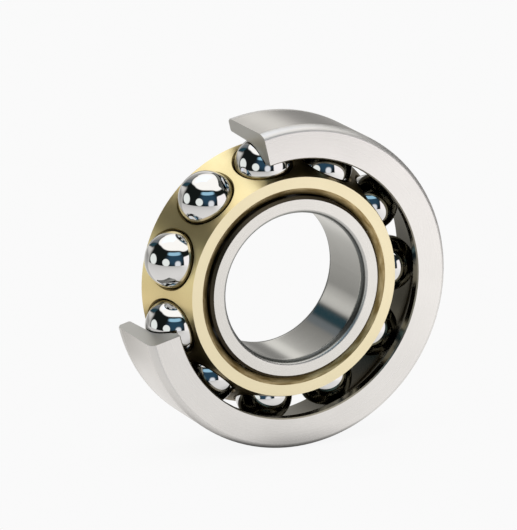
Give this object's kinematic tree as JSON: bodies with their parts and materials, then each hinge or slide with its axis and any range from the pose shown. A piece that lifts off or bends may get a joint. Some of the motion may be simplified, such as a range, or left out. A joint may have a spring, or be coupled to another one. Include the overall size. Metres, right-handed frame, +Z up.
{
  "type": "angular contact ball bearing",
  "caption": "Open angular contact ball bearing with a machined brass window cage; a quarter of the outer ring is cut away to show the balls and raceway.",
  "frame": {"origin": "on the bearing's axis, halfway through the outer ring's width", "axes": "+Y along the bearing's axis, from the outer ring's thick-shoulder face in front to its thin-shoulder face behind; +Z up, with the cut-away quarter at the upper left seen from the front"},
  "size_m": [0.1085, 0.0288, 0.11],
  "materials": {
    "ring_steel": "satin",
    "ball_steel": "polished",
    "cage_brass": "satin"
  },
  "bodies": {
    "outer_ring": {"outer_ring": "ring_steel"},
    "inner_ring": {"inner_ring": "ring_steel"},
    "cage": {"cage": "cage_brass"},
    "ball_01": {"ball_01": "ball_steel"},
    "ball_02": {"ball_02": "ball_steel"},
    "ball_03": {"ball_03": "ball_steel"},
    "ball_04": {"ball_04": "ball_steel"},
    "ball_05": {"ball_05": "ball_steel"},
    "ball_06": {"ball_06": "ball_steel"},
    "ball_07": {"ball_07": "ball_steel"},
    "ball_08": {"ball_08": "ball_steel"},
    "ball_09": {"ball_09": "ball_steel"},
    "ball_10": {"ball_10": "ball_steel"},
    "ball_11": {"ball_11": "ball_steel"}
  },
  "joints": [
    {"name": "inner_ring_spin", "type": "hinge", "parent": "outer_ring", "child": "inner_ring", "pos_m": [0, 0, 0], "axis": [0, 1, 0], "continuous": true},
    {"name": "cage_spin", "type": "hinge", "parent": "outer_ring", "child": "cage", "pos_m": [0, 0, 0], "axis": [0, 1, 0], "continuous": true},
    {"name": "ball_01_spin", "type": "hinge", "parent": "cage", "child": "ball_01", "pos_m": [-0.00584, 0.0015, 0.03957], "axis": [-0.0939, 0.766, 0.6359], "continuous": true},
    {"name": "ball_02_spin", "type": "hinge", "parent": "cage", "child": "ball_02", "pos_m": [-0.02631, 0.0015, 0.03013], "axis": [-0.4228, 0.766, 0.4842], "continuous": true},
    {"name": "ball_03_spin", "type": "hinge", "parent": "cage", "child": "ball_03", "pos_m": [-0.03842, 0.0015, 0.01112], "axis": [-0.6174, 0.766, 0.1787], "continuous": true},
    {"name": "ball_04_spin", "type": "hinge", "parent": "cage", "child": "ball_04", "pos_m": [-0.03834, 0.0015, -0.01142], "axis": [-0.6161, 0.766, -0.1834], "continuous": true},
    {"name": "ball_05_spin", "type": "hinge", "parent": "cage", "child": "ball_05", "pos_m": [-0.02608, 0.0015, -0.03033], "axis": [-0.4191, 0.766, -0.4874], "continuous": true},
    {"name": "ball_06_spin", "type": "hinge", "parent": "cage", "child": "ball_06", "pos_m": [-0.00554, 0.0015, -0.03961], "axis": [-0.0891, 0.766, -0.6366], "continuous": true},
    {"name": "ball_07_spin", "type": "hinge", "parent": "cage", "child": "ball_07", "pos_m": [0.01675, 0.0015, -0.03632], "axis": [0.2692, 0.766, -0.5837], "continuous": true},
    {"name": "ball_08_spin", "type": "hinge", "parent": "cage", "child": "ball_08", "pos_m": [0.03373, 0.0015, -0.0215], "axis": [0.5421, 0.766, -0.3455], "continuous": true},
    {"name": "ball_09_spin", "type": "hinge", "parent": "cage", "child": "ball_09", "pos_m": [0.04, 0.0015, 0.00015], "axis": [0.6428, 0.766, 0.0024], "continuous": true},
    {"name": "ball_10_spin", "type": "hinge", "parent": "cage", "child": "ball_10", "pos_m": [0.03357, 0.0015, 0.02175], "axis": [0.5394, 0.766, 0.3496], "continuous": true},
    {"name": "ball_11_spin", "type": "hinge", "parent": "cage", "child": "ball_11", "pos_m": [0.01648, 0.0015, 0.03645], "axis": [0.2648, 0.766, 0.5857], "continuous": true}
  ],
  "couplings": [
    {"joint": "cage_spin", "follows": "inner_ring_spin", "ratio": 0.40879},
    {"joint": "ball_01_spin", "follows": "inner_ring_spin", "ratio": -2.0299},
    {"joint": "ball_02_spin", "follows": "inner_ring_spin", "ratio": -2.0299},
    {"joint": "ball_03_spin", "follows": "inner_ring_spin", "ratio": -2.0299},
    {"joint": "ball_04_spin", "follows": "inner_ring_spin", "ratio": -2.0299},
    {"joint": "ball_05_spin", "follows": "inner_ring_spin", "ratio": -2.0299},
    {"joint": "ball_06_spin", "follows": "inner_ring_spin", "ratio": -2.0299},
    {"joint": "ball_07_spin", "follows": "inner_ring_spin", "ratio": -2.0299},
    {"joint": "ball_08_spin", "follows": "inner_ring_spin", "ratio": -2.0299},
    {"joint": "ball_09_spin", "follows": "inner_ring_spin", "ratio": -2.0299},
    {"joint": "ball_10_spin", "follows": "inner_ring_spin", "ratio": -2.0299},
    {"joint": "ball_11_spin", "follows": "inner_ring_spin", "ratio": -2.0299}
  ]
}
